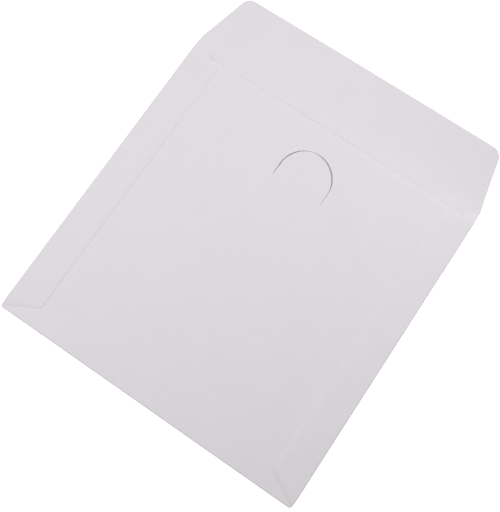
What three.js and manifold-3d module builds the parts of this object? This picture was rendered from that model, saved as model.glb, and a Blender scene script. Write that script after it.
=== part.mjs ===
// A card sleeve for one 120 mm disc, folded and glued from a single die-cut blank.
// The back panel lies flat. The front panel folds up over it from the bottom fold, and a side flap
// folds over each edge of the front panel and is glued down on it. The closing flap carries on
// from the top of the back panel. An arched slit in the front panel frees a tongue that the
// closing flap tucks under.
//
// Millimetres. X runs across the pocket, Y up to the closing flap, Z out of the front panel.
// The origin is the middle of the pocket on the face that the sleeve lies on.

import * as THREE from 'three';
import { mergeVertices } from 'three/addons/utils/BufferGeometryUtils.js';
import Module from 'manifold-3d';

const wasm = await Module();
wasm.setup();

// Card
const board = 0.25;
const glueBite = 0.03;

// Pocket
const pocketWidth = 125;
const pocketHeight = 126;
const pocketGap = 0.3;
const pocketGape = 1.2;
const gapeStart = 12;
const mouthDropLeft = 5.1;
const mouthDropRight = 3.8;
const panelInset = 0.15;

// Side flaps
const sideFlapWidth = 12.7;
const sideFlapTaper = 6.8;
const sideFlapCorner = 1.6;
const foldRelief = 0.6;

// Closing flap
const closingFlapLength = 23.5;
const closingFlapInset = 6.4;
const closingFlapCornerLeft = 2.8;
const closingFlapCornerRight = 4.4;
const closingFlapLiftLeft = 0.4;
const closingFlapLiftRight = 6.5;
const closingFlapCurl = 1.5;

// Tongue and the slit round it
const slitWidth = 21.2;
const slitHeight = 15.8;
const slitFoot = 95.5;
const slitOffset = 1.0;
const slitKerf = 0.35;
const tongueDrop = 0.6;
const tongueNickOffset = -3.5;
const tongueNickSpan = 4;

// How finely the curved faces and folds are divided
const foldSegments = 8;
const cornerSegments = 5;
const archSegments = 20;
const panelColumns = 6;
const panelRows = 8;
const flapColumns = 12;
const flapRows = 8;
const tongueColumns = 10;
const tongueRows = 7;
const trim = 1;
const finestStep = 1e-4;

// Worked out from the sizes above
const halfWidth = pocketWidth / 2;
const bottomY = -pocketHeight / 2;
const topY = pocketHeight / 2;
const panelFloor = board + pocketGap;
const sideFoldHeight = panelFloor + 2 * board - glueBite;
const sideFoldRadius = sideFoldHeight / 2;
const sideFlapFloor = sideFoldHeight - board;
const bottomFoldHeight = panelFloor + board;
const bottomFoldRadius = bottomFoldHeight / 2;
const halfBack = halfWidth - sideFoldRadius;
const halfPanel = halfBack - panelInset;
const halfFree = halfWidth - sideFlapWidth;
const startY = bottomY + bottomFoldRadius;
const lowY = bottomY + foldRelief;
const highY = topY - foldRelief;
const mouthTop = topY - Math.min(mouthDropLeft, mouthDropRight);
const footY = bottomY + slitFoot;
const crownY = footY + slitHeight;
const slitLeft = slitOffset - slitWidth / 2;
const slitRight = slitOffset + slitWidth / 2;
const cutDepth = 4 * (sideFoldHeight + pocketGape + closingFlapLiftLeft + closingFlapLiftRight);

// Turns a closed three.js geometry into a solid that can be joined and cut. Its points are kept
// to the finest step, so that stretches of card that meet have their edges in the same places.
function solidOf(geometry) {
  const bare = geometry.clone();
  bare.deleteAttribute('normal');
  bare.deleteAttribute('uv');
  const places = bare.attributes.position.array;
  places.forEach((value, i) => {
    places[i] = Math.round(value / finestStep) * finestStep;
  });
  const merged = mergeVertices(bare, finestStep / 2);
  return new wasm.Manifold(new wasm.Mesh({
    numProp: 3,
    vertProperties: new Float32Array(merged.attributes.position.array),
    triVerts: new Uint32Array(merged.index.array),
  }));
}

// Turns a finished solid back into a geometry for a mesh.
function geometryOf(solid) {
  const { vertProperties, triVerts, numProp } = solid.getMesh();
  const geometry = new THREE.BufferGeometry();
  const positions = new Float32Array(vertProperties.length / numProp * 3);
  for (let i = 0; i < positions.length / 3; i += 1) {
    positions.set(vertProperties.subarray(i * numProp, i * numProp + 3), i * 3);
  }
  geometry.setAttribute('position', new THREE.BufferAttribute(positions, 3));
  geometry.setIndex(new THREE.BufferAttribute(new Uint32Array(triVerts), 1));
  geometry.computeVertexNormals();
  return geometry;
}

// Evenly spaced places from one value to another, both included.
function stations(from, to, count) {
  return Array.from({ length: count + 1 }, (_, i) => from + (to - from) * i / count);
}

// A sheet of card whose underside follows floorAt(x, y), with a row of points at each station.
function cardSheet(xs, ys, floorAt) {
  const columns = xs.length - 1;
  const rows = ys.length - 1;
  const geometry = new THREE.BoxGeometry(columns, rows, board, columns, rows, 1);
  const position = geometry.attributes.position;
  for (let i = 0; i < position.count; i += 1) {
    const x = xs[Math.round(position.getX(i) + columns / 2)];
    const y = ys[Math.round(position.getY(i) + rows / 2)];
    const face = position.getZ(i) > 0 ? board : 0;
    position.setXYZ(i, x, y, floorAt(x, y) + face);
  }
  return solidOf(geometry);
}

// A closed outline in plan through its corners, each rounded by its own radius.
function roundedOutline(corners) {
  const shape = new THREE.Shape();
  corners.forEach(({ at, radius }, i) => {
    const before = corners[(i + corners.length - 1) % corners.length].at;
    const after = corners[(i + 1) % corners.length].at;
    const enter = at.clone().sub(before).normalize().multiplyScalar(-radius).add(at);
    const leave = after.clone().sub(at).normalize().multiplyScalar(radius).add(at);
    if (i === 0) {
      shape.moveTo(enter.x, enter.y);
    } else {
      shape.lineTo(enter.x, enter.y);
    }
    if (radius > 0) {
      shape.quadraticCurveTo(at.x, at.y, leave.x, leave.y);
    }
  });
  shape.closePath();
  return shape;
}

function corner(x, y, radius = 0) {
  return { at: new THREE.Vector2(x, y), radius };
}

// An outline in plan made solid from one height to another.
function prism(shape, floor, height, curveSegments) {
  const geometry = new THREE.ExtrudeGeometry(shape, { depth: height, bevelEnabled: false, curveSegments });
  geometry.translate(0, 0, floor);
  return solidOf(geometry);
}

// A tall cutter in plan, which passes through every layer of the sleeve.
function planCutter(shape, curveSegments = cornerSegments) {
  return prism(shape, -cutDepth / 2, cutDepth, curveSegments);
}

// How far the front panel stands above its glued height. It is flat near the bottom fold and
// under the side flaps, and gapes most at the middle of the mouth.
function panelRise(x, y) {
  const flatY = bottomY + gapeStart;
  const up = Math.max(0, (y - flatY) / (mouthTop - flatY));
  const across = Math.abs(x) < halfFree ? Math.cos(Math.PI * x / (2 * halfFree)) ** 2 : 0;
  return pocketGape * across * (1 - Math.cos(Math.PI * up / 2));
}

// How far the tongue lies below the front panel. It stays level where its edge still catches
// on the panel, at the nick.
function tongueDip(x, y) {
  const up = THREE.MathUtils.clamp((y - footY) / slitHeight, 0, 1);
  const fromNick = (x - slitOffset - tongueNickOffset) / tongueNickSpan;
  return tongueDrop * up * (1 - Math.exp(-(fromNick ** 2)));
}

// How far the closing flap curls up off the table, more at its right corner than at its left.
function flapLift(x, y) {
  const out = Math.max(0, (y - topY) / closingFlapLength);
  const right = THREE.MathUtils.clamp((x + halfWidth) / pocketWidth, 0, 1);
  return THREE.MathUtils.lerp(closingFlapLiftLeft, closingFlapLiftRight, right) * out ** closingFlapCurl;
}

// The curled flap is shorter in plan than it is along the card.
function flapReach(lift) {
  return topY + Math.sqrt(closingFlapLength ** 2 - lift ** 2);
}

// The arched slit's outline in plan, drawn in from the cut by inset and started below its foot.
function archOutline(inset, below) {
  const radius = slitWidth / 2 - inset;
  const springY = crownY - slitWidth / 2;
  const shape = new THREE.Shape();
  shape.moveTo(slitOffset - radius, footY - below);
  shape.lineTo(slitOffset + radius, footY - below);
  shape.lineTo(slitOffset + radius, springY);
  shape.absarc(slitOffset, springY, radius, 0, Math.PI, false);
  shape.closePath();
  return shape;
}

// The back panel and the closing flap, which are one stretch of card.
function backAndClosingFlap() {
  const xs = stations(-halfWidth - trim, halfWidth + trim, flapColumns);
  const ys = [startY, ...stations(topY, topY + closingFlapLength + trim, flapRows)];
  const outline = roundedOutline([
    corner(-halfBack, startY - trim),
    corner(halfBack, startY - trim),
    corner(halfBack, highY),
    corner(halfWidth, topY),
    corner(halfWidth - closingFlapInset, flapReach(closingFlapLiftRight), closingFlapCornerRight),
    corner(-halfWidth + closingFlapInset, flapReach(closingFlapLiftLeft), closingFlapCornerLeft),
    corner(-halfWidth, topY),
    corner(-halfBack, highY),
  ]);
  return cardSheet(xs, ys, flapLift).intersect(planCutter(outline));
}

// The places across the pocket where the front panel has a row of points.
const tongueStations = stations(slitLeft, slitRight, tongueColumns);
const panelStations = [
  -halfPanel,
  ...stations(-halfFree, slitLeft, panelColumns).slice(0, -1),
  ...tongueStations,
  ...stations(slitRight, halfFree, panelColumns).slice(1),
  halfPanel,
];

// The front panel, with its slanting top edge and the arched window that the tongue fills.
function frontPanel() {
  const ys = [
    startY,
    ...stations(bottomY + gapeStart, footY, panelRows),
    ...stations(footY, mouthTop + trim, tongueRows).slice(1),
  ];
  const aboveMouth = roundedOutline([
    corner(-halfWidth, topY - mouthDropLeft),
    corner(halfWidth, topY - mouthDropRight),
    corner(halfWidth, topY + closingFlapLength),
    corner(-halfWidth, topY + closingFlapLength),
  ]);
  return cardSheet(panelStations, ys, (x, y) => panelFloor + panelRise(x, y))
    .subtract(planCutter(aboveMouth))
    .subtract(planCutter(archOutline(0, 0), archSegments));
}

// The tongue, which hangs on the front panel along its foot.
function tongue() {
  const ys = stations(footY, crownY, tongueRows);
  return cardSheet(tongueStations, ys, (x, y) => panelFloor + panelRise(x, y) - tongueDip(x, y))
    .intersect(planCutter(archOutline(slitKerf, trim), archSegments));
}

// A rounded fold, a half turn of card seen end on, that opens towards +X.
function foldOutline(radius) {
  const shape = new THREE.Shape();
  shape.moveTo(0, board);
  shape.absarc(0, radius, radius - board, -Math.PI / 2, Math.PI / 2, true);
  shape.absarc(0, radius, radius, Math.PI / 2, -Math.PI / 2, false);
  shape.closePath();
  return shape;
}

// A fold that stands on the table, with its open side along Y at x = 0.
function fold(radius, fromY, toY) {
  const geometry = new THREE.ExtrudeGeometry(foldOutline(radius), {
    depth: toY - fromY,
    bevelEnabled: false,
    curveSegments: foldSegments,
  });
  geometry.rotateX(Math.PI / 2);
  geometry.translate(0, toY, 0);
  return geometry;
}

// The crease between the back panel and one side flap. side is -1 for the left, 1 for the right.
function sideFold(side) {
  const geometry = fold(sideFoldRadius, lowY, highY);
  if (side > 0) {
    geometry.rotateZ(Math.PI);
    geometry.translate(0, lowY + highY, 0);
  }
  geometry.translate(side * halfBack, 0, 0);
  return solidOf(geometry);
}

// The crease between the back panel and the front panel.
function bottomFold() {
  const geometry = fold(bottomFoldRadius, -halfPanel, halfPanel);
  geometry.rotateZ(Math.PI / 2);
  geometry.translate(0, startY, 0);
  return solidOf(geometry);
}

// One side flap, glued down on the front panel, with a slanting end at the top and the bottom.
function sideFlap(side) {
  const corners = [
    corner(side * halfBack, lowY),
    corner(side * halfBack, highY),
    corner(side * halfFree, highY - sideFlapTaper, sideFlapCorner),
    corner(side * halfFree, lowY + sideFlapTaper, sideFlapCorner),
  ];
  return prism(roundedOutline(corners), sideFlapFloor, board, cornerSegments);
}

const sleeveSolid = [
  frontPanel(),
  tongue(),
  bottomFold(),
  sideFold(-1),
  sideFold(1),
  sideFlap(-1),
  sideFlap(1),
].reduce((joined, piece) => joined.add(piece), backAndClosingFlap());

const whiteCard = new THREE.MeshStandardMaterial({
  name: 'white_card',
  color: 0xeeecef,
  roughness: 0.85,
  metalness: 0,
});

const sleeve = new THREE.Mesh(geometryOf(sleeveSolid), whiteCard);
sleeve.name = 'sleeve';

const cdSleeve = new THREE.Group();
cdSleeve.name = 'cd_sleeve';
cdSleeve.add(sleeve);

export default cdSleeve;
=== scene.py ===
"""A white card sleeve for one disc, folded and glued from a single die-cut blank.

The sleeve lies on a pale table, front panel up, with its closing flap open. Shapes are worked out
in millimetres and turned into metres as the last step of each mesh. X runs across the pocket, Y up
to the closing flap and Z out of the front panel. The origin is the middle of the pocket on the
face that the sleeve lies on.
"""

import logging
import math
from dataclasses import dataclass, field
from enum import Enum

import bmesh
import bpy
from mathutils import Euler, Matrix, Vector


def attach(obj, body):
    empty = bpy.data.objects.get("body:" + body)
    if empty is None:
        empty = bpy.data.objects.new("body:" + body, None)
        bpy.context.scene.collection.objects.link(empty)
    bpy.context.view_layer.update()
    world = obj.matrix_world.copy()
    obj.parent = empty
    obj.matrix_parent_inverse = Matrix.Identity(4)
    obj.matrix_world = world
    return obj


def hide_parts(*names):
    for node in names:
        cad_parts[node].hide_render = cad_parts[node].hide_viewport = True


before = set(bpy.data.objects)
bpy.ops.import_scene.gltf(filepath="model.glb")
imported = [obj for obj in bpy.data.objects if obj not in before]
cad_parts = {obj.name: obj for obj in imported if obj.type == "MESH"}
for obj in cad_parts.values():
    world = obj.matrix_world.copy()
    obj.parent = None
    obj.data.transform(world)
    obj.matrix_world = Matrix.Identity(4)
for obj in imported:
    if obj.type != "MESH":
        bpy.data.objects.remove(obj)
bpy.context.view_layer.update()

MM = 0.001
TOUCH = 1e-4
LEVEL_NORMAL_Z = 0.5

log = logging.getLogger("cd_sleeve")


class Side(Enum):
    """A side of the sleeve, as the sign of its X."""

    LEFT = -1
    RIGHT = 1


class Surface(Enum):
    """A kind of surface on the card, as the number of its material slot."""

    FACE = 0
    CUT_EDGE = 1


def stations(start: float, stop: float, step: float) -> list[float]:
    """Evenly spaced places from start to stop.

    Args:
        start: The first place.
        stop: The last place.
        step: The widest spacing allowed.

    Returns:
        The places, both ends included.
    """
    count = max(1, math.ceil(abs(stop - start) / step - TOUCH))
    return [start + (stop - start) * i / count for i in range(count + 1)]


def clamp(value: float) -> float:
    """Returns the value, kept between 0 and 1."""
    return min(1.0, max(0.0, value))


def ease(value: float) -> float:
    """Returns a smooth step from 0 to 1 for a value between 0 and 1."""
    share = clamp(value)
    return share * share * (3.0 - 2.0 * share)


def hill(distance: float, span: float) -> float:
    """Returns a smooth bump that is 1 at no distance and fades out over the span."""
    return math.exp(-((distance / span) ** 2))


def slice_across(bm: bmesh.types.BMesh, place: Vector, normal: Vector) -> None:
    """Divides the whole flat mesh along one straight line.

    Args:
        bm: The mesh to divide.
        place: A point on the line.
        normal: The direction square to the line.
    """
    everything = bm.verts[:] + bm.edges[:] + bm.faces[:]
    bmesh.ops.bisect_plane(bm, geom=everything, dist=TOUCH, plane_co=place, plane_no=normal)


@dataclass(frozen=True)
class Crease:
    """A half turn of card that joins two stretches of the blank.

    Its height is measured over the outer faces, and board is the card's thickness.
    """

    height: float
    board: float

    @property
    def radius(self) -> float:
        """The radius of the crease's outer face."""
        return self.height / 2

    @property
    def bend(self) -> float:
        """The radius at the middle of the card."""
        return self.radius - self.board / 2

    @property
    def length(self) -> float:
        """How much card the half turn takes."""
        return math.pi * self.bend

    def place(self, distance: float, depth: float, fullness: float = 1.0) -> tuple[float, float]:
        """Finds where a point of the blank comes to lie past this crease.

        Args:
            distance: How far the point is from the crease's start, along the card.
            depth: How far it is from the card's middle, towards the inside of the fold.
            fullness: How much of its height the crease keeps, where it is pressed flatter.

        Returns:
            How far it lies outward of the crease's start, and how high it lies.
        """
        angle = min(math.pi, distance / self.bend)
        middle = self.board / 2 + self.bend * (1.0 - math.cos(angle)) * fullness
        outward = (self.bend - depth) * math.sin(angle) + min(0.0, self.length - distance)
        return outward, middle + depth * math.cos(angle)


@dataclass(frozen=True)
class Opening:
    """A place where the slit stands open by more or less than elsewhere.

    The width is added to the slit's at the middle of the place and fades out over the span.
    """

    x: float
    y: float
    width: float
    span: float

    def spread(self, x: float, y: float) -> float:
        """Returns how much wider the slit stands open at a point."""
        return self.width * hill(math.hypot(x - self.x, y - self.y), self.span)


@dataclass
class SleeveBlank:
    """The flat die-cut blank, drawn with the back panel where it lies in the folded sleeve.

    The side flaps stand out to both sides of the back panel, the front panel hangs below it and
    the closing flap stands above it.
    """

    board: float = 0.25
    pocket_width: float = 125.0
    pocket_height: float = 126.0
    pocket_gap: float = 0.3
    glue_bite: float = 0.03
    panel_inset: float = 0.15
    mouth_drop_left: float = 5.1
    mouth_drop_right: float = 3.8
    side_flap_width: float = 12.95
    side_flap_taper: float = 6.8
    side_flap_corner: float = 1.6
    fold_relief: float = 0.6
    closing_flap_length: float = 23.5
    closing_flap_inset: float = 6.1
    closing_flap_corner_left: float = 2.8
    closing_flap_corner_right: float = 3.3
    slit_width: float = 21.2
    slit_height: float = 15.8
    slit_foot: float = 95.7
    slit_offset: float = 1.35
    slit_kerf: float = 0.4
    slit_gap: float = 0.06
    slit_openings: tuple[Opening, ...] = (
        Opening(-8.6, 40.6, width=0.34, span=5.2),
        Opening(9.1, 45.2, width=0.46, span=5.0),
        Opening(12.0, 33.5, width=0.02, span=4.0),
        Opening(-9.3, 32.5, width=-0.05, span=1.6),
    )
    edge_round: float = 0.06
    fold_steps: int = 10
    arch_steps: int = 36
    corner_steps: int = 8
    back_step: float = 3.0
    panel_step: float = 2.4
    flap_step: float = 1.6
    tongue_step: float = 0.9
    fold_margin: float = 0.15
    foot_margin: float = 1.0
    crown_margin: float = 2.0
    weld: float = 0.05
    sliver: float = 0.004

    def __post_init__(self) -> None:
        """Works out the places that follow from the sizes."""
        layers = self.board * 3 + self.pocket_gap - self.glue_bite
        self.side_crease = Crease(layers, self.board)
        self.bottom_crease = Crease(self.board * 2 + self.pocket_gap, self.board)
        self.half_width = self.pocket_width / 2
        self.bottom_y = -self.pocket_height / 2
        self.top_y = self.pocket_height / 2
        self.half_back = self.half_width - self.side_crease.radius
        self.half_panel = self.half_back - self.panel_inset
        self.half_free = self.half_width - self.side_flap_width
        self.start_y = self.bottom_y + self.bottom_crease.radius
        self.low_y = self.bottom_y + self.fold_relief
        self.high_y = self.top_y - self.fold_relief
        self.foot_y = self.bottom_y + self.slit_foot
        self.crown_y = self.foot_y + self.slit_height
        self.spring_y = self.crown_y - self.slit_width / 2
        self.turn_x = self.half_back + self.side_crease.length
        self.side_reach = self.turn_x + self.half_back - self.half_free

    def front_t(self, y: float) -> float:
        """Returns where a height on the front panel lies on the blank."""
        return 2 * self.start_y - self.bottom_crease.length - y

    def mouth_y(self, x: float) -> float:
        """Finds the height of the front panel's top edge at a place across it.

        Args:
            x: The place across the sleeve.

        Returns:
            The edge's place up the sleeve.
        """
        right = (x + self.half_width) / self.pocket_width
        drop = self.mouth_drop_left + (self.mouth_drop_right - self.mouth_drop_left) * right
        return self.top_y - drop

    def grow(
        self, bm: bmesh.types.BMesh, edge: bmesh.types.BMEdge, ends: list[tuple[float, float]]
    ) -> bmesh.types.BMEdge:
        """Extrudes an edge of the blank into a new stretch of card.

        Args:
            bm: The blank's mesh.
            edge: The edge that the new stretch starts from.
            ends: Where the far edge's ends lie, from left to right or from low to high.

        Returns:
            The new stretch's far edge.
        """
        made = bmesh.ops.extrude_edge_only(bm, edges=[edge])["geom"]
        corners = [item for item in made if isinstance(item, bmesh.types.BMVert)]
        corners.sort(key=lambda vert: (round(vert.co.x, 3), vert.co.y))
        for vert, (x, y) in zip(corners, ends):
            vert.co = (x, y, 0.0)
        return next(
            item
            for item in made
            if isinstance(item, bmesh.types.BMEdge) and set(item.verts) == set(corners)
        )

    def outline(self, bm: bmesh.types.BMesh) -> None:
        """Builds every stretch of the blank as one flat face each, with its corners rounded.

        Args:
            bm: The blank's mesh, still empty.
        """
        bmesh.ops.create_grid(bm, x_segments=1, y_segments=1, size=1.0)
        stretch = Vector((self.half_back, self.high_y, 1.0))
        bmesh.ops.scale(bm, vec=stretch, verts=bm.verts)
        middles = {edge: (edge.verts[0].co + edge.verts[1].co) / 2 for edge in bm.edges}
        rims = {
            Side.LEFT: min(middles, key=lambda edge: middles[edge].x),
            Side.RIGHT: max(middles, key=lambda edge: middles[edge].x),
        }
        bottom = min(middles, key=lambda edge: middles[edge].y)
        top = max(middles, key=lambda edge: middles[edge].y)
        for side, edge in rims.items():
            self.add_side_flap(bm, edge, side)
        self.add_front_panel(bm, bottom)
        self.add_closing_flap(bm, top)

    def add_side_flap(self, bm: bmesh.types.BMesh, edge: bmesh.types.BMEdge, side: Side) -> None:
        """Adds a crease and a side flap with slanting ends.

        Args:
            bm: The blank's mesh.
            edge: The back panel's edge on that side.
            side: The side that the flap is on.
        """
        turn_x, tip_x = side.value * self.turn_x, side.value * self.side_reach
        low, high = self.low_y + self.side_flap_taper, self.high_y - self.side_flap_taper
        edge = self.grow(bm, edge, [(turn_x, self.low_y), (turn_x, self.high_y)])
        edge = self.grow(bm, edge, [(tip_x, low), (tip_x, high)])
        self.round_corners(bm, list(edge.verts), self.side_flap_corner)

    def add_front_panel(self, bm: bmesh.types.BMesh, edge: bmesh.types.BMEdge) -> None:
        """Adds the bottom crease and the front panel, up to the slanting mouth.

        Args:
            bm: The blank's mesh.
            edge: The back panel's bottom edge.
        """
        half = self.half_panel
        edge = self.grow(bm, edge, [(-half, self.start_y), (half, self.start_y)])
        turn_t = self.start_y - self.bottom_crease.length
        edge = self.grow(bm, edge, [(-half, turn_t), (half, turn_t)])
        mouth = [(x, self.front_t(self.mouth_y(x))) for x in (-half, half)]
        self.grow(bm, edge, mouth)

    def add_closing_flap(self, bm: bmesh.types.BMesh, edge: bmesh.types.BMEdge) -> None:
        """Adds the closing flap, wider than the back panel at its foot.

        Args:
            bm: The blank's mesh.
            edge: The back panel's top edge.
        """
        half, tip = self.half_width, self.half_width - self.closing_flap_inset
        end_y = self.top_y + self.closing_flap_length
        edge = self.grow(bm, edge, [(-half, self.top_y), (half, self.top_y)])
        edge = self.grow(bm, edge, [(-tip, end_y), (tip, end_y)])
        left, right = sorted(edge.verts, key=lambda vert: vert.co.x)
        self.round_corners(bm, [left], self.closing_flap_corner_left)
        self.round_corners(bm, [right], self.closing_flap_corner_right)

    def round_corners(
        self, bm: bmesh.types.BMesh, corners: list[bmesh.types.BMVert], reach: float
    ) -> None:
        """Rounds corners of the blank.

        Args:
            bm: The blank's mesh.
            corners: The corners to round.
            reach: How far along its edges each corner's curve starts.
        """
        bmesh.ops.bevel(
            bm,
            geom=corners,
            offset=reach,
            affect="VERTICES",
            segments=self.corner_steps,
            profile=0.5,
            material=-1,
        )

    def across_places(self) -> list[float]:
        """Finds the places across the blank where it is divided.

        Returns:
            Their X, from left to right.
        """
        slit = self.slit_width / 2 + self.tongue_step
        halves = [
            *stations(self.half_back, self.turn_x, self.side_crease.length / self.fold_steps),
            *stations(self.turn_x + self.fold_margin, self.side_reach, self.flap_step),
            self.half_back - self.fold_margin,
            self.half_panel - self.fold_margin,
            self.half_free,
        ]
        near = stations(self.slit_offset - slit, self.slit_offset + slit, self.tongue_step)
        left = stations(-self.half_free, near[0], self.panel_step)
        right = stations(near[-1], self.half_free, self.panel_step)
        margins = stations(self.half_free, self.half_panel, self.panel_step)[1:-1]
        mirrored = [sign * place for place in halves + margins for sign in (-1, 1)]
        return sorted({round(place, 4) for place in mirrored + near + left + right})

    def along_places(self) -> list[float]:
        """Finds the places along the blank where it is divided.

        Returns:
            Their Y on the blank, from low to high.
        """
        length = self.bottom_crease.length
        low, high = self.start_y + self.foot_margin, self.foot_y - self.foot_margin
        heights = [
            self.start_y + self.fold_margin,
            *stations(low, high, self.panel_step),
            *stations(self.foot_y, self.crown_y + self.tongue_step, self.tongue_step),
            *stations(
                self.crown_y + self.crown_margin, self.mouth_y(self.half_width), self.flap_step
            ),
        ]
        places = [
            *[self.front_t(y) for y in heights],
            *stations(self.start_y - length, self.start_y, length / self.fold_steps),
            self.start_y + self.fold_margin,
            *stations(self.low_y, self.high_y, self.back_step),
            *stations(self.top_y, self.top_y + self.closing_flap_length, self.flap_step),
        ]
        return sorted({round(place, 4) for place in places})

    def cut_arch(
        self, bm: bmesh.types.BMesh, inset: float, within: list[bmesh.types.BMFace]
    ) -> list[bmesh.types.BMFace]:
        """Marks the slit's arch into the front panel, one straight cut after another.

        Args:
            bm: The blank's mesh.
            inset: How far the arch is drawn in from the slit's outer edge.
            within: The faces that the arch may divide.

        Returns:
            The faces inside the arch.
        """
        radius = self.slit_width / 2 - inset
        centre = Vector((self.slit_offset, self.front_t(self.spring_y), 0.0))
        turns = stations(0.0, math.pi, math.pi / self.arch_steps)
        headings = [Vector((math.cos(turn), -math.sin(turn), 0.0)) for turn in turns]
        cuts = [(centre + heading * radius, heading) for heading in headings]
        foot = Vector((self.slit_offset, self.front_t(self.foot_y), 0.0))
        cuts.append((foot, Vector((0.0, 1.0, 0.0))))
        inside = within
        for place, normal in cuts:
            verts = {vert for face in inside for vert in face.verts}
            edges = {edge for face in inside for edge in face.edges}
            made = bmesh.ops.bisect_plane(
                bm,
                geom=[*verts, *edges, *inside],
                dist=TOUCH,
                plane_co=place,
                plane_no=normal,
            )
            faces = {item for item in made["geom"] if isinstance(item, bmesh.types.BMFace)}
            inside = [
                face for face in faces if (face.calc_center_median() - place).dot(normal) < 0
            ]
        return inside

    def cut_slit(self, bm: bmesh.types.BMesh) -> None:
        """Cuts the arched slit that frees the tongue from the front panel.

        Args:
            bm: The blank's mesh, flat and without thickness.
        """
        crease_t = self.start_y - self.bottom_crease.length
        panel = [face for face in bm.faces if face.calc_center_median().y < crease_t]
        outer = self.cut_arch(bm, 0.0, panel)
        inner = set(self.cut_arch(bm, self.slit_kerf, outer))
        foot_t = self.front_t(self.foot_y)
        radius = self.slit_width / 2
        spring_t = self.front_t(self.spring_y)
        kerf = []
        for face in bm.faces:
            middle = face.calc_center_median()
            if face in inner or middle.y > foot_t or middle.y < self.front_t(self.crown_y):
                continue
            off = Vector((middle.x - self.slit_offset, min(0.0, middle.y - spring_t)))
            if off.length < radius:
                kerf.append(face)
        bmesh.ops.delete(bm, geom=kerf, context="FACES")
        self.close_slit(bm)

    def gap_at(self, x: float, y: float) -> float:
        """Returns how wide the slit stands open at a point, most of all at its shoulders."""
        return self.slit_gap + sum(opening.spread(x, y) for opening in self.slit_openings)

    def close_slit(self, bm: bmesh.types.BMesh) -> None:
        """Lets the tongue's edge out towards the panel, up to the gap that the slit has there.

        Args:
            bm: The blank's mesh, with the slit cut at its full kerf.
        """
        edge_reach = self.slit_width / 2 - self.slit_kerf
        foot_t = self.front_t(self.foot_y)
        spring_t = self.front_t(self.spring_y)
        for vert in bm.verts:
            if vert.co.y > foot_t + TOUCH:
                continue
            off = Vector((vert.co.x - self.slit_offset, min(0.0, vert.co.y - spring_t)))
            if abs(off.length - edge_reach) > self.weld:
                continue
            step = self.slit_kerf - self.gap_at(vert.co.x, self.front_t(vert.co.y))
            vert.co.xy += off.normalized() * step

    def drop_slivers(self, bm: bmesh.types.BMesh) -> None:
        """Joins faces of next to no area with the face along their longest edge.

        Args:
            bm: The blank's mesh, flat and without thickness.
        """
        bm.normal_update()
        slivers = [
            face
            for face in bm.faces
            if face.calc_area() < self.sliver or face.normal.z < LEVEL_NORMAL_Z
        ]
        longest = [max(face.edges, key=lambda edge: edge.calc_length()) for face in slivers]
        on_rim = [face for face, edge in zip(slivers, longest) if edge.is_boundary]
        inside = [edge for edge in longest if not edge.is_boundary]
        bmesh.ops.dissolve_edges(bm, edges=inside)
        bmesh.ops.delete(bm, geom=[face for face in on_rim if face.is_valid], context="FACES")
        bm.normal_update()

    def thicken(self, bm: bmesh.types.BMesh) -> None:
        """Gives the flat blank the card's thickness and takes the sharpness off its cut edges.

        Args:
            bm: The blank's mesh, flat and without thickness.
        """
        bmesh.ops.solidify(bm, geom=bm.faces[:], thickness=self.board)
        bmesh.ops.translate(bm, verts=bm.verts, vec=(0.0, 0.0, self.board / 2))
        bmesh.ops.recalc_face_normals(bm, faces=bm.faces)
        rims = [
            edge
            for edge in bm.edges
            if edge.is_manifold
            and sorted(abs(round(face.normal.z)) for face in edge.link_faces) == [0, 1]
        ]
        bmesh.ops.bevel(
            bm,
            geom=rims,
            offset=self.edge_round,
            affect="EDGES",
            segments=1,
            profile=0.5,
            material=-1,
            clamp_overlap=False,
        )

    def build(self) -> bmesh.types.BMesh:
        """Makes the flat blank at its full thickness, with its cut edges marked.

        Returns:
            The blank's mesh, in millimetres.
        """
        bm = bmesh.new()
        self.outline(bm)
        for place in self.across_places():
            slice_across(bm, Vector((place, 0.0, 0.0)), Vector((1.0, 0.0, 0.0)))
        for place in self.along_places():
            slice_across(bm, Vector((0.0, place, 0.0)), Vector((0.0, 1.0, 0.0)))
        self.cut_slit(bm)
        bmesh.ops.remove_doubles(bm, verts=bm.verts, dist=self.weld)
        self.drop_slivers(bm)
        self.thicken(bm)
        for face in bm.faces:
            level = abs(face.normal.z) > LEVEL_NORMAL_Z
            face.material_index = (Surface.FACE if level else Surface.CUT_EDGE).value
        return bm


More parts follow.
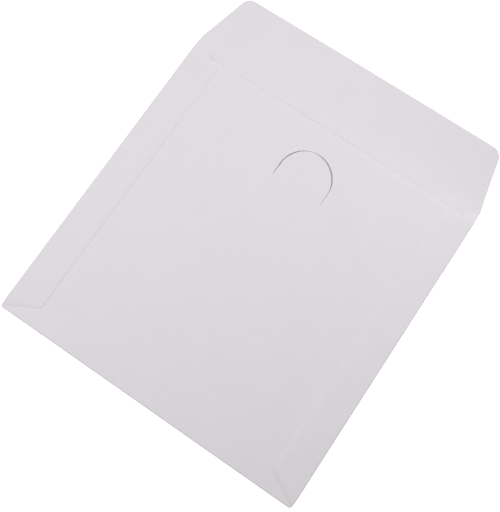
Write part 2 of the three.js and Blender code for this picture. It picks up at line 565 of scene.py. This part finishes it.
@dataclass
class FoldedCard:
    """How the blank lies once it is folded, glued and used a little."""

    blank: SleeveBlank = field(default_factory=SleeveBlank)
    pocket_gape: float = 0.25
    gape_start: float = 12.0
    closing_flap_lift_left: float = 0.4
    closing_flap_lift_right: float = 6.5
    closing_flap_curl: float = 1.5
    tongue_drop: float = 0.48
    tongue_nick_offset: float = -3.8
    tongue_nick_span: float = 4.6
    pressed_share: float = 0.5
    pressed_reach: float = 0.7
    pressed_mouth_share: float = 0.7
    pressed_end_share: float = 0.8
    pressed_end_reach: float = 0.3
    flat_fullness: float = 0.34
    flat_start: float = 0.1
    flat_span: float = 1.0
    flap_corner_spring: float = 0.04
    flap_corner_span: float = 7.0
    panel_waver: float = 0.12
    waver_pitch: float = 47.0
    waver_slant: float = 0.4
    waver_onset: float = 0.25
    waver_end: float = 20.0
    waver_fade: float = 15.0
    end_slack: float = 0.1

    def panel_rise(self, x: float, y: float) -> float:
        """Finds how far the front panel gapes and wavers above its glued height.

        Args:
            x: The point's place across the sleeve.
            y: Its place up the sleeve.

        Returns:
            The extra height.
        """
        cut = self.blank
        flat_y = cut.bottom_y + self.gape_start
        mouth_top = cut.top_y - min(cut.mouth_drop_left, cut.mouth_drop_right)
        up = max(0.0, (y - flat_y) / (mouth_top - flat_y))
        inner = abs(x) < cut.half_free
        across = math.cos(math.pi * x / (2 * cut.half_free)) ** 2 if inner else 0.0
        gape = self.pocket_gape * (1.0 - math.cos(math.pi * up / 2))
        phase = 2 * math.pi * (y + self.waver_slant * x) / self.waver_pitch
        waver = self.panel_waver * ease(up / self.waver_onset) * math.sin(phase)
        return across * (gape + waver * (1.0 - ease((y - self.waver_end) / self.waver_fade)))

    def tongue_dip(self, x: float, y: float) -> float:
        """Finds how far the tongue lies below the front panel around it.

        Args:
            x: The point's place across the sleeve.
            y: Its place up the sleeve.

        Returns:
            The drop, which is nothing outside the slit.
        """
        cut = self.blank
        radius = cut.slit_width / 2
        off = Vector((x - cut.slit_offset, max(0.0, y - cut.spring_y)))
        if y < cut.foot_y or off.length > radius - cut.gap_at(x, y) / 2:
            return 0.0
        up = clamp((y - cut.foot_y) / cut.slit_height)
        from_nick = x - cut.slit_offset - self.tongue_nick_offset
        return self.tongue_drop * up * (1.0 - hill(from_nick, self.tongue_nick_span))

    def side_flap_rise(self, x: float, y: float) -> float:
        """Finds how far a side flap springs up: only the left one, at its lower inner corner.

        Args:
            x: The point's place across the sleeve.
            y: Its place up the sleeve.

        Returns:
            The extra height.
        """
        cut = self.blank
        inward = clamp((cut.half_back - abs(x)) / (cut.half_back - cut.half_free))
        tip_y = cut.low_y + cut.side_flap_taper
        corner = hill(y - tip_y, self.flap_corner_span) if x < 0 else 0.0
        return inward**3 * self.flap_corner_spring * corner

    def side_fullness(self, x: float, y: float) -> float:
        """Finds how much height a side crease keeps: less above the front panel's mouth.

        Args:
            x: The point's place across the blank.
            y: Its place up the sleeve.

        Returns:
            The share of its full height.
        """
        past = ease((y - self.blank.mouth_y(x) - self.flat_start) / self.flat_span)
        return 1.0 + (self.flat_fullness - 1.0) * past

    def flap_pressed(self, reach: float, y: float) -> float:
        """Finds how far a side flap is pressed thin, near its free edges.

        Args:
            reach: The point's place across the blank, from the middle.
            y: Its place along the blank.

        Returns:
            The share of the card's thickness that is pressed away.
        """
        cut = self.blank
        slope = cut.side_flap_taper / (cut.side_reach - cut.turn_x)
        past = max(0.0, reach - cut.turn_x)
        end = min(cut.high_y - y, y - cut.low_y) - past * slope
        near_end = 1.0 - ease(end / math.hypot(1.0, slope) / self.pressed_end_reach)
        near_side = 1.0 - ease((cut.side_reach - reach) / self.pressed_reach)
        return max(self.pressed_share * near_side, self.pressed_end_share * near_end)

    def pressed_depth(self, depth: float, share: float) -> float:
        """Thins the outer face of the card.

        Args:
            depth: The point's depth in the card, negative on the outer face.
            share: The share of the card's thickness that is pressed away.

        Returns:
            The depth that it has in the pressed card.
        """
        return depth + max(0.0, self.blank.board / 2 - depth) * share

    def closing_flap_place(self, x: float, t: float) -> tuple[float, float]:
        """Finds where a point of the closing flap lies once the flap has curled.

        Args:
            x: Its place across the sleeve.
            t: Its place along the blank.

        Returns:
            Its Y, and its height above the table.
        """
        cut = self.blank
        right = clamp((x + cut.half_width) / cut.pocket_width)
        spread = self.closing_flap_lift_right - self.closing_flap_lift_left
        lift = self.closing_flap_lift_left + spread * right
        length = cut.closing_flap_length
        reach = math.sqrt(length**2 - lift**2)
        out = (t - cut.top_y) / length * (reach / length)
        return cut.top_y + out * length, lift * out**self.closing_flap_curl

    def place(self, spot: Vector) -> Vector:
        """Finds where a point of the blank comes to lie.

        Args:
            spot: Its place on the flat blank, and its depth in the card.

        Returns:
            Its place in the folded sleeve, in millimetres.
        """
        cut = self.blank
        s, t, depth = spot
        floor = cut.board / 2
        beside = cut.low_y - self.end_slack < t < cut.high_y + self.end_slack
        if beside and abs(s) > cut.half_back:
            depth = self.pressed_depth(depth, self.flap_pressed(abs(s), t))
            outward, up = cut.side_crease.place(
                abs(s) - cut.half_back, depth, self.side_fullness(s, t)
            )
            x = math.copysign(cut.half_back + outward, s)
            if outward < 0:
                up += self.side_flap_rise(x, t)
            return Vector((x, t, up))
        if t < cut.start_y:
            inland = t - cut.front_t(cut.mouth_y(s))
            share = self.pressed_mouth_share * (1.0 - ease(inland / self.pressed_reach))
            depth = self.pressed_depth(depth, share)
            outward, up = cut.bottom_crease.place(cut.start_y - t, depth)
            y = cut.start_y - outward
            if outward < 0:
                up += self.panel_rise(s, y) - self.tongue_dip(s, y)
            return Vector((s, y, up))
        if t > cut.top_y:
            y, lift = self.closing_flap_place(s, t)
            return Vector((s, y, floor + depth + lift))
        return Vector((s, t, floor + depth))


@dataclass(frozen=True)
class CardFinish:
    """Uncoated white card: a faint cloudy tone, fine fibres and a dry surface."""

    name: str
    colour: tuple[float, float, float]
    roughness: float
    tone_depth: float
    cloud_size: float
    fibre_size: float
    fibre_height: float
    cloud_layers: float = 3.0
    cloud_grit: float = 0.55
    fibre_layers: float = 4.0
    fibre_grit: float = 0.65
    fibre_share: float = 0.35
    tone_range: tuple[float, float] = (0.3, 0.7)
    cockle_strength: float = 0.25
    grain_strength: float = 0.5
    gloss: float = 0.25
    roughness_spread: float = 0.05

    def material(self) -> bpy.types.Material:
        """Builds the finish as a material whose pattern is fixed to the card.

        Returns:
            The material.
        """
        made = bpy.data.materials.new(self.name)
        made.use_nodes = True
        tree = made.node_tree
        shader = tree.nodes["Principled BSDF"]
        shader.inputs["Specular IOR Level"].default_value = self.gloss
        spots = tree.nodes.new("ShaderNodeTexCoord").outputs["Object"]
        clouds = self.noise(tree, spots, self.cloud_size, self.cloud_layers, self.cloud_grit)
        fibres = self.noise(tree, spots, self.fibre_size, self.fibre_layers, self.fibre_grit)
        self.tone(tree, shader, clouds, fibres)
        self.relief(tree, shader, clouds, fibres)
        self.dryness(tree, shader, fibres)
        return made

    def noise(
        self,
        tree: bpy.types.NodeTree,
        spots: bpy.types.NodeSocket,
        size: float,
        layers: float,
        grit: float,
    ) -> bpy.types.NodeSocket:
        """Adds a noise pattern on the piece's own coordinates.

        Args:
            tree: The material's nodes.
            spots: The socket that gives the coordinates.
            size: How wide one patch of the pattern is, in millimetres.
            layers: How many finer layers it has.
            grit: How strong the finer layers are.

        Returns:
            The socket that gives the pattern.
        """
        node = tree.nodes.new("ShaderNodeTexNoise")
        node.inputs["Scale"].default_value = 1.0 / (size * MM)
        node.inputs["Detail"].default_value = layers
        node.inputs["Roughness"].default_value = grit
        tree.links.new(spots, node.inputs["Vector"])
        return node.outputs["Fac"]

    def tone(
        self,
        tree: bpy.types.NodeTree,
        shader: bpy.types.Node,
        clouds: bpy.types.NodeSocket,
        fibres: bpy.types.NodeSocket,
    ) -> None:
        """Varies the colour a little, mostly in wide clouds and partly along the fibres.

        Args:
            tree: The material's nodes.
            shader: The card's shader.
            clouds: The pattern of wide clouds.
            fibres: The pattern of fine fibres.
        """
        blend = tree.nodes.new("ShaderNodeMix")
        blend.data_type = "FLOAT"
        blend.inputs["Factor"].default_value = self.fibre_share
        tree.links.new(clouds, blend.inputs[2])
        tree.links.new(fibres, blend.inputs[3])
        ramp = tree.nodes.new("ShaderNodeValToRGB")
        for stop, place, sign in zip(ramp.color_ramp.elements, self.tone_range, (-1.0, 1.0)):
            stop.position = place
            gain = 1.0 + sign * self.tone_depth
            stop.color = (*(channel * gain for channel in self.colour), 1.0)
        tree.links.new(blend.outputs[0], ramp.inputs["Fac"])
        tree.links.new(ramp.outputs["Color"], shader.inputs["Base Color"])

    def relief(
        self,
        tree: bpy.types.NodeTree,
        shader: bpy.types.Node,
        clouds: bpy.types.NodeSocket,
        fibres: bpy.types.NodeSocket,
    ) -> None:
        """Raises the fibres and lets the sheet cockle very slightly.

        Args:
            tree: The material's nodes.
            shader: The card's shader.
            clouds: The pattern of wide clouds.
            fibres: The pattern of fine fibres.
        """
        cockle = tree.nodes.new("ShaderNodeBump")
        cockle.inputs["Strength"].default_value = self.cockle_strength
        cockle.inputs["Distance"].default_value = self.fibre_height * MM
        tree.links.new(clouds, cockle.inputs["Height"])
        grain = tree.nodes.new("ShaderNodeBump")
        grain.inputs["Strength"].default_value = self.grain_strength
        grain.inputs["Distance"].default_value = self.fibre_height * MM
        tree.links.new(fibres, grain.inputs["Height"])
        tree.links.new(cockle.outputs["Normal"], grain.inputs["Normal"])
        tree.links.new(grain.outputs["Normal"], shader.inputs["Normal"])

    def dryness(
        self, tree: bpy.types.NodeTree, shader: bpy.types.Node, fibres: bpy.types.NodeSocket
    ) -> None:
        """Varies the roughness a little along the fibres.

        Args:
            tree: The material's nodes.
            shader: The card's shader.
            fibres: The pattern of fine fibres.
        """
        spread = tree.nodes.new("ShaderNodeMapRange")
        spread.inputs["To Min"].default_value = self.roughness - self.roughness_spread
        spread.inputs["To Max"].default_value = self.roughness + self.roughness_spread
        tree.links.new(fibres, spread.inputs["Value"])
        tree.links.new(spread.outputs["Result"], shader.inputs["Roughness"])


WHITE_CARD = CardFinish(
    name="white_card",
    colour=(0.748, 0.718, 0.754),
    roughness=0.82,
    tone_depth=0.012,
    cloud_size=9.0,
    fibre_size=0.45,
    fibre_height=0.012,
)

CARD_CORE = CardFinish(
    name="white_card_core",
    colour=(0.70, 0.675, 0.69),
    roughness=0.9,
    tone_depth=0.05,
    cloud_size=1.2,
    fibre_size=0.12,
    fibre_height=0.03,
)


@dataclass
class CardSleeve:
    """The folded sleeve, one piece of card from the back panel to the tip of every flap."""

    card: FoldedCard = field(default_factory=FoldedCard)
    face_finish: CardFinish = WHITE_CARD
    edge_finish: CardFinish = CARD_CORE
    crisp_angle: float = 32.0
    map_span: float = 300.0

    def build(self) -> bpy.types.Object:
        """Folds the blank, dresses it and puts it in the place of the CAD solid.

        Returns:
            The finished sleeve.
        """
        bm = self.card.blank.build()
        layer = bm.loops.layers.uv.new("blank")
        for face in bm.faces:
            for loop in face.loops:
                loop[layer].uv = loop.vert.co.xy / self.map_span + Vector((0.5, 0.5))
        for vert in bm.verts:
            vert.co = self.card.place(vert.co.copy())
        bmesh.ops.scale(bm, vec=(MM, MM, MM), verts=bm.verts)
        bmesh.ops.recalc_face_normals(bm, faces=bm.faces)
        for face in bm.faces:
            face.smooth = True
        mesh = bpy.data.meshes.new("card_sleeve")
        bm.to_mesh(mesh)
        bm.free()
        mesh.set_sharp_from_angle(angle=math.radians(self.crisp_angle))
        mesh.materials.append(self.face_finish.material())
        mesh.materials.append(self.edge_finish.material())
        sleeve = bpy.data.objects.new("card_sleeve", mesh)
        bpy.context.scene.collection.objects.link(sleeve)
        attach(sleeve, "root")
        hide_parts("sleeve")
        return sleeve


@dataclass
class Table:
    """The plain white table that the sleeve lies on, which fades to white for the camera.

    Its sizes are in metres.
    """

    half_size: float = 6.0
    drop: float = 0.00002
    bounce: float = 0.9
    white_lift: float = 0.45
    shadow_reach: float = 0.1
    white_reach: float = 0.24

    def material(self) -> bpy.types.Material:
        """Builds the table's surface: plain for the light, white with a soft shadow to the eye.

        Returns:
            The material.
        """
        made = bpy.data.materials.new("table_top")
        made.use_nodes = True
        tree = made.node_tree
        tree.nodes.clear()
        output = tree.nodes.new("ShaderNodeOutputMaterial")
        path = tree.nodes.new("ShaderNodeLightPath")
        plain = tree.nodes.new("ShaderNodeBsdfDiffuse")
        plain.inputs["Color"].default_value = (self.bounce, self.bounce, self.bounce, 1.0)
        white = tree.nodes.new("ShaderNodeBsdfDiffuse")
        white.inputs["Color"].default_value = (1.0, 1.0, 1.0, 1.0)
        lift = tree.nodes.new("ShaderNodeEmission")
        tree.links.new(self.fade(tree), lift.inputs["Strength"])
        seen = tree.nodes.new("ShaderNodeAddShader")
        tree.links.new(white.outputs["BSDF"], seen.inputs[0])
        tree.links.new(lift.outputs["Emission"], seen.inputs[1])
        blend = tree.nodes.new("ShaderNodeMixShader")
        tree.links.new(self.seen_directly(tree, path), blend.inputs["Fac"])
        tree.links.new(plain.outputs["BSDF"], blend.inputs[1])
        tree.links.new(seen.outputs["Shader"], blend.inputs[2])
        tree.links.new(blend.outputs["Shader"], output.inputs["Surface"])
        return made

    def fade(self, tree: bpy.types.NodeTree) -> bpy.types.NodeSocket:
        """Lets the table's own white rise away from the sleeve.

        Args:
            tree: The material's nodes.

        Returns:
            A socket that goes from the lift near the sleeve to full white further off.
        """
        coordinates = tree.nodes.new("ShaderNodeTexCoord")
        distance = tree.nodes.new("ShaderNodeVectorMath")
        distance.operation = "LENGTH"
        tree.links.new(coordinates.outputs["Object"], distance.inputs[0])
        spread = tree.nodes.new("ShaderNodeMapRange")
        spread.interpolation_type = "SMOOTHSTEP"
        spread.inputs["From Min"].default_value = self.shadow_reach
        spread.inputs["From Max"].default_value = self.white_reach
        spread.inputs["To Min"].default_value = self.white_lift
        spread.inputs["To Max"].default_value = 1.0
        tree.links.new(distance.outputs["Value"], spread.inputs["Value"])
        return spread.outputs["Result"]

    @staticmethod
    def seen_directly(tree: bpy.types.NodeTree, path: bpy.types.Node) -> bpy.types.NodeSocket:
        """Tells the rays that show the background from those that carry light.

        Args:
            tree: The nodes of a material or of the world.
            path: Their Light Path node.

        Returns:
            A socket that is 1 for what is seen straight, in a reflection or through glass.
        """
        outcome = path.outputs["Is Camera Ray"]
        for name in ("Is Glossy Ray", "Is Transmission Ray"):
            either = tree.nodes.new("ShaderNodeMath")
            either.operation = "MAXIMUM"
            tree.links.new(outcome, either.inputs[0])
            tree.links.new(path.outputs[name], either.inputs[1])
            outcome = either.outputs["Value"]
        return outcome

    def build(self) -> bpy.types.Object:
        """Lays the table top under the sleeve.

        Returns:
            The table top.
        """
        bm = bmesh.new()
        bmesh.ops.create_grid(bm, x_segments=1, y_segments=1, size=self.half_size)
        bmesh.ops.translate(bm, verts=bm.verts, vec=(0.0, 0.0, -self.drop))
        mesh = bpy.data.meshes.new("table_top")
        bm.to_mesh(mesh)
        bm.free()
        mesh.materials.append(self.material())
        table = bpy.data.objects.new("table_top", mesh)
        bpy.context.scene.collection.objects.link(table)
        return table


@dataclass(frozen=True)
class Lamp:
    """A soft square lamp aimed at the middle of the sleeve.

    It hangs at a turn from the X axis and a height above the table, both in degrees, and its
    distance and width are in metres. A level of 1 shows a flat sheet in its own colour.
    """

    name: str
    turn: float
    height: float
    level: float
    distance: float = 0.35
    width: float = 0.175

    def build(self) -> bpy.types.Object:
        """Hangs the lamp so that it gives its level on a flat sheet at the middle.

        Returns:
            The lamp.
        """
        turn, height = math.radians(self.turn), math.radians(self.height)
        heading = Vector(
            (
                math.cos(turn) * math.cos(height),
                math.sin(turn) * math.cos(height),
                math.sin(height),
            )
        )
        light = bpy.data.lights.new(self.name, "AREA")
        light.shape = "SQUARE"
        light.size = self.width
        light.energy = self.level * (math.pi * self.distance) ** 2 / math.sin(height)
        lamp = bpy.data.objects.new(self.name, light)
        lamp.location = heading * self.distance
        lamp.rotation_euler = heading.to_track_quat("Z", "Y").to_euler()
        lamp.visible_camera = False
        bpy.context.scene.collection.objects.link(lamp)
        return lamp


@dataclass(frozen=True)
class Studio:
    """Plain soft light: a few large lamps and an even white surround."""

    lamps: tuple[Lamp, ...] = (
        Lamp("upper_right_lamp", turn=60.0, height=45.0, level=0.286),
        Lamp("left_lamp", turn=180.0, height=60.0, level=0.160),
        Lamp("lower_left_lamp", turn=210.0, height=60.0, level=0.150),
        Lamp("low_left_lamp", turn=210.0, height=45.0, level=0.060),
    )
    surround: float = 0.35

    def build(self) -> None:
        """Hangs the lamps and makes the surround."""
        for lamp in self.lamps:
            lamp.build()
        world = bpy.data.worlds.new("white_surround")
        world.use_nodes = True
        tree = world.node_tree
        light = tree.nodes["Background"]
        light.inputs["Strength"].default_value = self.surround
        light.inputs["Color"].default_value = (1.0, 1.0, 1.0, 1.0)
        shown = tree.nodes.new("ShaderNodeBackground")
        shown.inputs["Color"].default_value = (1.0, 1.0, 1.0, 1.0)
        path = tree.nodes.new("ShaderNodeLightPath")
        blend = tree.nodes.new("ShaderNodeMixShader")
        tree.links.new(Table.seen_directly(tree, path), blend.inputs["Fac"])
        tree.links.new(light.outputs["Background"], blend.inputs[1])
        tree.links.new(shown.outputs["Background"], blend.inputs[2])
        tree.links.new(blend.outputs["Shader"], tree.nodes["World Output"].inputs["Surface"])
        bpy.context.scene.world = world


@dataclass(frozen=True)
class PhotoCamera:
    """A camera close above the sleeve, turned so that the pocket stands on one corner.

    Its place is in millimetres, its tilt in degrees about X, Y and Z.
    """

    place: tuple[float, float, float] = (34.0006, -50.4639, 299.7406)
    tilt: tuple[float, float, float] = (11.7176, -0.4896, 34.132)
    lens: float = 59.1621
    sensor_width: float = 36.0
    nearest: float = 0.01
    furthest: float = 50.0

    def build(self) -> bpy.types.Object:
        """Makes the camera and sets it as the scene's camera.

        Returns:
            The camera.
        """
        data = bpy.data.cameras.new("camera")
        data.lens = self.lens
        data.sensor_width = self.sensor_width
        data.clip_start = self.nearest
        data.clip_end = self.furthest
        camera = bpy.data.objects.new("camera", data)
        turn = Euler([math.radians(angle) for angle in self.tilt], "XYZ").to_matrix().to_4x4()
        camera.matrix_world = Matrix.Translation(Vector(self.place) * MM) @ turn
        bpy.context.scene.collection.objects.link(camera)
        bpy.context.scene.camera = camera
        return camera


def main() -> None:
    """Builds the sleeve, the table, the light and the camera."""
    logging.basicConfig(level=logging.INFO, format="%(name)s: %(message)s")
    bpy.context.scene.view_settings.view_transform = "Standard"
    sleeve = CardSleeve().build()
    log.info("%s: %d faces", sleeve.name, len(sleeve.data.polygons))
    table = Table().build()
    log.info("%s: %d face", table.name, len(table.data.polygons))
    Studio().build()
    camera = PhotoCamera().build()
    log.info("%s: lens %.1f mm", camera.name, camera.data.lens)


if __name__ == "__main__":
    main()
